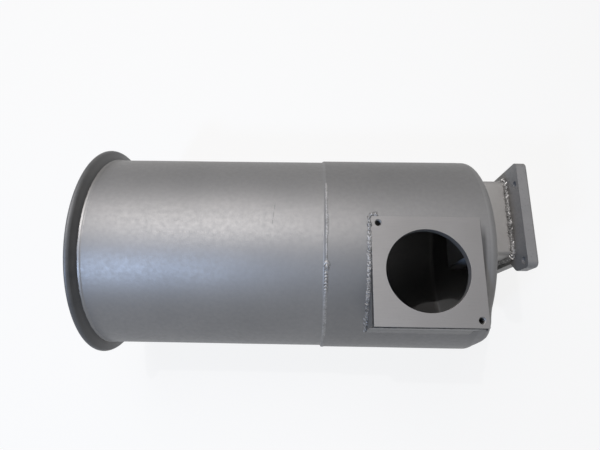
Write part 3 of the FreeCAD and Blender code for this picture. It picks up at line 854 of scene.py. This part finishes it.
# The left bead's start round the box's upper corner, its side, and its end past the lower one
FOOT_START = ((0.0065, 0.0032), (-0.0005, 0.0018), (-0.0030, -0.0030))
FOOT_SIDE = -0.0030
FOOT_END = (-0.0015, -0.0035)
FOOT_STEPS = 16
FILLET_STEPS = 24
FILLET_LEG = 0.0045
FILLET_RISE = 0.012
FILLET_REACH = 0.45
FILLET_ROUND = 0.0006
FILLET_OFF = 0.0004
FLANGE_LEG = 0.005
CAP_LEG = 0.004
# Each bead's scales: length, width and height of one, width that it wanders in, pitch, and
# unevenness
FOOT_SCALES = ((0.0042, 0.0058, 0.0015), 0.005, 0.0027, 0.38)
FILLET_SCALES = ((0.0090, 0.0040, 0.0009), 0.004, 0.0030, 0.08)
PLATE_SCALES = ((0.0060, 0.0026, 0.0006), 0.002, 0.0024, 0.15)
FLANGE_SCALES = ((0.0050, FLANGE_LEG * 1.7, FLANGE_LEG * 0.62), FLANGE_LEG, 0.0027, 0.38)
CAP_SCALES = ((0.0040, CAP_LEG * 1.6, CAP_LEG * 0.5), CAP_LEG, 0.0026, 0.2)
# The dressed slopes behind the ring and at the seam: how deep their foot is sunk, how far
# they stand proud, and their shape
RING_BEAD_SUNK = 0.0005
RING_BEAD_PROUD = 0.00005
RING_BEAD_SHARE = 0.93
RING_BEAD_HOLLOW = 1.6
SEAM_SUNK = 0.0006
SEAM_PROUD = 0.00003
SEAM_LAND = 0.0012
# How far a bead's scales stand off the corner they fill, as a share of its leg
OFF_CORNER = 0.3


def make_scale(length, width, height):
    """One scale of a weld bead: a low crescent, X along the bead, Z out of it."""
    bpy.ops.mesh.primitive_uv_sphere_add(segments=10, ring_count=6, radius=1,
                                         scale=(length / 2, width / 2, height))
    scale = started("weld_scale")
    for share, step in ((0.5, 0.25), (0.8, 0.2)):
        choose(scale, "VERT", lambda point: abs(point.y) > width / 2 * share)
        bpy.ops.transform.translate(value=(-length * step, 0, 0))
        leave_edit()
    return scale


def lay(name, scale, width, stations, rng, jitter):
    """Copy a scale to each station of a bead and join the copies."""
    copies = []
    for place, along, out in stations:
        across = out.cross(along).normalized()
        turn = Matrix((along, across, out)).transposed().to_4x4()
        stretch = [1 + rng.uniform(-jitter, jitter) for axis in range(3)]
        shift = across * rng.uniform(-jitter, jitter) * width * 0.25
        copy = scale.copy()
        copy.data = scale.data.copy()
        bpy.context.scene.collection.objects.link(copy)
        copy.matrix_basis = Matrix.Translation(place + shift) @ turn @ Matrix.Diagonal((*stretch, 1))
        copies.append(copy)
    bpy.data.objects.remove(scale)
    bpy.context.view_layer.update()
    return join_all(name, copies)


def round_stations(along_place, radius, start, end, pitch):
    """Stations round the X axis between two angles from Z towards Y, in degrees."""
    start, end = math.radians(start), math.radians(end)
    count = max(2, int(abs(end - start) * radius / pitch))
    stations = []
    for i in range(count):
        angle = start + (end - start) * i / count
        out = Vector((0, math.sin(angle), math.cos(angle)))
        along = Vector((0, math.cos(angle), -math.sin(angle)))
        place = out * radius + Vector((along_place, 0, 0))
        stations.append((place, along, out))
    return stations


def path_stations(points, pitch):
    """Stations along a run of points, each with the direction out of the surface there."""
    stations = []
    spare = 0.0
    for (start, start_out), (end, end_out) in zip(points, points[1:]):
        run = end - start
        length = run.length
        along = run.normalized()
        place = spare
        while place < length:
            share = place / length
            out = start_out.lerp(end_out, share)
            out = (out - along * out.dot(along)).normalized()
            stations.append((start.lerp(end, share), along, out))
            place += pitch
        spare = place - length
    return stations


def bead_along(name, points, rng, sizes, width, pitch, jitter):
    """Lay scales of a length, width and height along a run of points."""
    return lay(name, make_scale(*sizes), width, path_stations(points, pitch), rng, jitter)


def make_ring_bead():
    """Dressed bead that runs from the ring's neck down to the shell."""
    start = ring_bead_low.x
    leg = ring_bead_high.x - start
    profile = [(start, front_radius - RING_BEAD_SUNK)]
    for i in range(SLOPE_STEPS + 1):
        share = i / SLOPE_STEPS
        rise = RING_NECK * RING_BEAD_SHARE * (1 - share) ** RING_BEAD_HOLLOW
        profile.append((start + leg * share, front_radius + rise + RING_BEAD_PROUD))
    profile.append((start + leg, front_radius - RING_BEAD_SUNK))
    bead = turned("ring_bead", profile)
    uneven(bead, 0.012, 0.0003)
    smooth(bead, BEAD_ANGLE)
    finished(bead, satin_sheet, "painted_weld", "ring_weld")


SEAM_WIDTH = seam_high.x - seam_low.x
SEAM_RISE = 0.00022
# Each run of scales on the seam: angles from Z towards Y, place along the can past the seam's
# end, length, width and height of a scale, pitch, and unevenness
SEAM_RUNS = ((28, -17.4, -0.0002, 0.0036, 0.0034, 0.0010, 0.0021, 0.14),
             (8.0, -4.0, 0.0007, 0.0036, 0.0044, 0.0009, 0.0026, 0.22),
             (-17.6, -21.0, 0.0005, 0.0072, 0.0092, 0.0022, 0.0038, 0.30),
             (-22.8, -33.5, -0.0004, 0.0050, 0.0066, 0.0015, 0.0046, 0.12),
             (-33.5, -64.0, -0.0007, 0.0110, 0.0054, 0.00055, 0.0032, 0.08),
             (-76, -118, -0.0004, 0.0032, 0.0048, 0.0007, 0.0022, 0.20),
             (-118, -140, -0.0004, 0.0100, 0.0046, 0.0004, 0.0032, 0.10),
             (-140, -206, -0.0004, 0.0032, 0.0048, 0.0007, 0.0022, 0.20),
             (130, 80, -0.0004, 0.0032, 0.0048, 0.0007, 0.0022, 0.20))


def make_seam_bead():
    """Bead at the seam: a low dressed slope all round, and scales on parts of it."""
    rng = random.Random(11)
    profile = [(seam_low.x, front_radius - SEAM_SUNK)]
    for i in range(SLOPE_STEPS + 1):
        share = i / SLOPE_STEPS
        slope = share ** 2 * (3 - 2 * share)
        rise = (shell_radius - front_radius) * slope + SEAM_RISE * math.sin(math.pi * share)
        profile.append((seam_low.x + SEAM_WIDTH * share, front_radius + rise + SEAM_PROUD))
    profile += [(seam_high.x + SEAM_LAND, shell_radius + SEAM_PROUD),
                (seam_high.x + SEAM_LAND, shell_radius - SEAM_SUNK)]
    slope = turned("seam_slope", profile)
    smooth(slope, BEAD_ANGLE)
    finished(slope, satin_sheet, "painted_weld")
    pieces = []
    for start, end, shift, length, width, height, pitch, jitter in SEAM_RUNS:
        scale = make_scale(length, width, height)
        stations = round_stations(seam_high.x + shift, shell_radius - BEAD_CLEAR, start, end,
                                  pitch)
        pieces.append(lay("seam_run", scale, width, stations, rng, jitter))
    bead = join_all("seam_bead", pieces)
    smooth(bead, BEAD_ANGLE)
    finished(bead, painted_weld, "painted_weld", "seam_weld")


def shell_height(across):
    """Height of the rear shell's outside."""
    return math.sqrt(shell_radius ** 2 - across ** 2)


def on_shell(along, across):
    """Place just over the rear shell, and the direction out of it."""
    up = shell_height(across)
    return Vector((along, across, up + BEAD_CLEAR)), Vector((0, across, up)) / shell_radius


def make_foot_bead():
    """Coarse bead on the shell, down the left side of the port box and round its corner."""
    rng = random.Random(5)
    left, low, high = plate_low.x, plate_low.y, plate_high.y
    run = [(left + along, high + across) for along, across in FOOT_START]
    run += [(left + FOOT_SIDE, high + (low - high) * i / FOOT_STEPS)
            for i in range(1, FOOT_STEPS + 1)]
    run += [(left + FOOT_END[0], low + FOOT_END[1])]
    bead = bead_along("foot_bead", [on_shell(*place) for place in run], rng, *FOOT_SCALES)
    smooth(bead, BEAD_ANGLE)
    finished(bead, rough_weld, "painted_weld", "port_foot_weld")


def make_foot_fillets():
    """Dressed and coated weld along the lower and right sides of the port box."""
    rng = random.Random(6)
    left, right, low, high = plate_low.x, plate_high.x, plate_low.y, plate_high.y
    leg, rise = FILLET_LEG, FILLET_RISE
    fillet = block("foot_fillet", (left, low - leg, shell_height(low - leg) - 0.0008),
                   (right, low + 0.0003, shell_height(low) + rise))

    def on_outer_edge(point):
        return point.y < low - leg + MERGE and point.z > shell_height(low) + rise - MERGE

    choose(fillet, "VERT", on_outer_edge)
    bpy.ops.transform.translate(value=(0, leg, 0))
    leave_edit()
    soften(fillet, FILLET_ROUND, 2, 10)
    top = low + (high - low) * FILLET_REACH
    run = [on_shell(right + FILLET_OFF, low + (top - low) * i / FILLET_STEPS)
           for i in range(FILLET_STEPS + 1)]
    side = bead_along("foot_fillet_right", run, rng, *FILLET_SCALES)
    fillets = join_all("foot_fillets", [fillet, side])
    smooth(fillets, BEAD_ANGLE)
    finished(fillets, satin_sheet, "painted_weld")


def make_plate_bead():
    """Thin bead between the port plate's edge and the walls of its box, painted near black as the
    shade under the plate's edge.
    """
    rng = random.Random(8)
    left, right = plate_low.x, plate_high.x
    low, level = plate_low.y, plate_low.z
    start = -math.sqrt(shell_radius ** 2 - level ** 2)
    points = [(Vector((left, start, level)), Vector((-1, 0, -0.6))),
              (Vector((left, low, level)), Vector((-1, -0.2, -0.6))),
              (Vector((right, low, level)), Vector((0, -1, -0.6))),
              (Vector((right, start, level)), Vector((1, 0, -0.6)))]
    bead = bead_along("plate_bead", points, rng, *PLATE_SCALES)
    smooth(bead, BEAD_ANGLE)
    finished(bead, shade_dark_weld, "painted_weld", "port_plate_weld")


def duct_outline(grow):
    """Points round the duct at a distance, with the direction out of its side at each."""
    corner = DUCT_CORNER + grow
    straight = duct_half + grow - corner
    points = []
    for quarter in range(4):
        turn = Matrix.Rotation(math.pi / 2 * quarter, 2)
        for i in range(OUTLINE_STEPS + 1):
            angle = math.pi / 2 * i / OUTLINE_STEPS
            spot = turn @ Vector((straight + corner * math.cos(angle),
                                  straight + corner * math.sin(angle)))
            out = turn @ Vector((math.cos(angle), math.sin(angle)))
            points.append((Vector((0, duct_middle.y + spot.x, duct_middle.z + spot.y)),
                           Vector((0, out.x, out.y))))
    return points + points[:1]


def make_flange_bead():
    """Bright bead between the duct and the flange's back."""
    rng = random.Random(21)
    points = [(point + Vector((flange_low.x - FLANGE_LEG * 0.35, 0, 0)),
               (out + Vector((-1, 0, 0))).normalized())
              for point, out in duct_outline(FLANGE_LEG * OFF_CORNER)]
    bead = bead_along("flange_bead", points, rng, *FLANGE_SCALES)
    smooth(bead, BEAD_ANGLE)
    finished(bead, bright_weld, "bright_weld", "duct_flange_weld")


def make_cap_bead():
    """Bead between the duct and the end cap."""
    rng = random.Random(34)
    points = []
    for point, out in duct_outline(CAP_LEG * OFF_CORNER):
        reach = math.hypot(point.y, point.z)
        place = Vector((crown_at(reach) + CAP_LEG * OFF_CORNER, point.y, point.z))
        points.append((place, (out + Vector((1, 0, 0))).normalized()))
    bead = bead_along("cap_bead", points, rng, *CAP_SCALES)
    smooth(bead, BEAD_ANGLE)
    finished(bead, painted_weld, "painted_weld", "duct_cap_weld")


make_ring_bead()
make_seam_bead()
make_foot_bead()
make_foot_fillets()
make_plate_bead()
make_flange_bead()
make_cap_bead()


# Inside of the can

def dress_node(node, material):
    """Give a solid that stays its finish."""
    solid = frame["nodes"][node]
    solid.data.materials.clear()
    solid.data.materials.append(material)


def make_baffle(side):
    baffle = copy_of(side + "_baffle", side + "_baffle_disc")
    smooth(baffle)
    finished(baffle, inner_steel, "bare_inner_sheet", side + "_baffle")


make_baffle("front")
make_baffle("rear")
for index in (1, 2, 3):
    dress_node("core_tube_%d" % index, inner_steel)
dress_node("packing", wool)


# Floor, light and camera

FLOOR_REACH = 12.0
FLOOR_WHITE = 0.86
FLOOR_PAPER = (0.70, 0.70, 0.70, 1)
KEY_DIRECTION = Vector((-0.281, 0.223, 0.933))
KEY_DISTANCE = 3.0
SOFT_DIRECTION = Vector((-0.24, 0.42, 0.88))
WORLD_LIGHT = 0.03
PALE = (0.8, 0.8, 0.8, 1)
WARM = (1.0, 0.965, 0.955)
COOL = (0.50, 0.67, 1.0)
CAN_MIDDLE = Vector((0.33, 0, 0))
SOFT_DISTANCE = 2.2
FLOOR_MIDDLE = 0.3
FLOOR_GAP = 0.0005
LENS = 26.525
LENS_SHIFT = (-0.0005, 0.0023)
CAMERA_PLACE = (0.32311, -0.16466, 0.72990)
CAMERA_TURN = (16.095, 0.542, 0.980)
# Each lamp's place, aim, width, watts and colour
LAMPS = {
    "key": (port_centre + KEY_DIRECTION * KEY_DISTANCE, port_centre, 0.03, 27, WARM),
    "soft_key": (CAN_MIDDLE + SOFT_DIRECTION * SOFT_DISTANCE, CAN_MIDDLE, 1.7, 32, WARM),
    "cool_side": (Vector((-0.50, -0.84, 1.34)), Vector((0.08, -0.05, 0.14)), 0.20, 16, COOL)}


def seen(finish):
    """1 for what the camera sees, also where metal or glass mirrors it or lets it through."""
    straight = finish.node("ShaderNodeLightPath", output="Is Camera Ray")
    mirrored = finish.node("ShaderNodeLightPath", output="Is Glossy Ray")
    through = finish.node("ShaderNodeLightPath", output="Is Transmission Ray")
    return straight + mirrored + through > 0.5


def make_floor():
    lowest = solid_box[0][2]
    bpy.ops.mesh.primitive_plane_add(size=FLOOR_REACH,
                                     location=(FLOOR_MIDDLE, 0, lowest - FLOOR_GAP))
    floor = started("floor")
    finish = Finish("floor_paper")
    paper = finish.node("ShaderNodeBsdfDiffuse", inputs={"Color": FLOOR_PAPER})
    white = finish.node("ShaderNodeEmission", inputs={"Strength": 1.0})
    mixed = finish.node("ShaderNodeMixShader",
                        inputs={0: seen(finish) * FLOOR_WHITE, 1: paper, 2: white})
    finish.node("ShaderNodeOutputMaterial", inputs={"Surface": mixed})
    floor.data.materials.append(finish.material)


def make_world():
    world = bpy.data.worlds.new("studio")
    bpy.context.scene.world = world
    finish = Finish("studio", world)
    strength = seen(finish) * (1 - WORLD_LIGHT) + WORLD_LIGHT
    glow = finish.node("ShaderNodeBackground", inputs={"Color": PALE, "Strength": strength})
    finish.node("ShaderNodeOutputWorld", inputs={"Surface": glow})


def make_lamp(name, place, aim, size, power, colour):
    data = bpy.data.lights.new(name, "AREA")
    data.shape = "DISK"
    data.size = size
    data.energy = power
    data.color = colour
    lamp = bpy.data.objects.new(name, data)
    bpy.context.scene.collection.objects.link(lamp)
    lamp.location = place
    lamp.rotation_euler = (aim - place).to_track_quat("-Z", "Y").to_euler()


def make_camera():
    data = bpy.data.cameras.new("camera")
    data.sensor_fit = "HORIZONTAL"
    data.sensor_width = 36.0
    data.lens = LENS
    data.shift_x, data.shift_y = LENS_SHIFT
    data.clip_start = 0.01
    camera = bpy.data.objects.new("camera", data)
    bpy.context.scene.collection.objects.link(camera)
    camera.location = CAMERA_PLACE
    camera.rotation_euler = [math.radians(angle) for angle in CAMERA_TURN]
    bpy.context.scene.camera = camera


make_floor()
make_world()
for lamp_name, lamp_settings in LAMPS.items():
    make_lamp(lamp_name, *lamp_settings)
make_camera()
bpy.context.scene.view_settings.view_transform = "Standard"
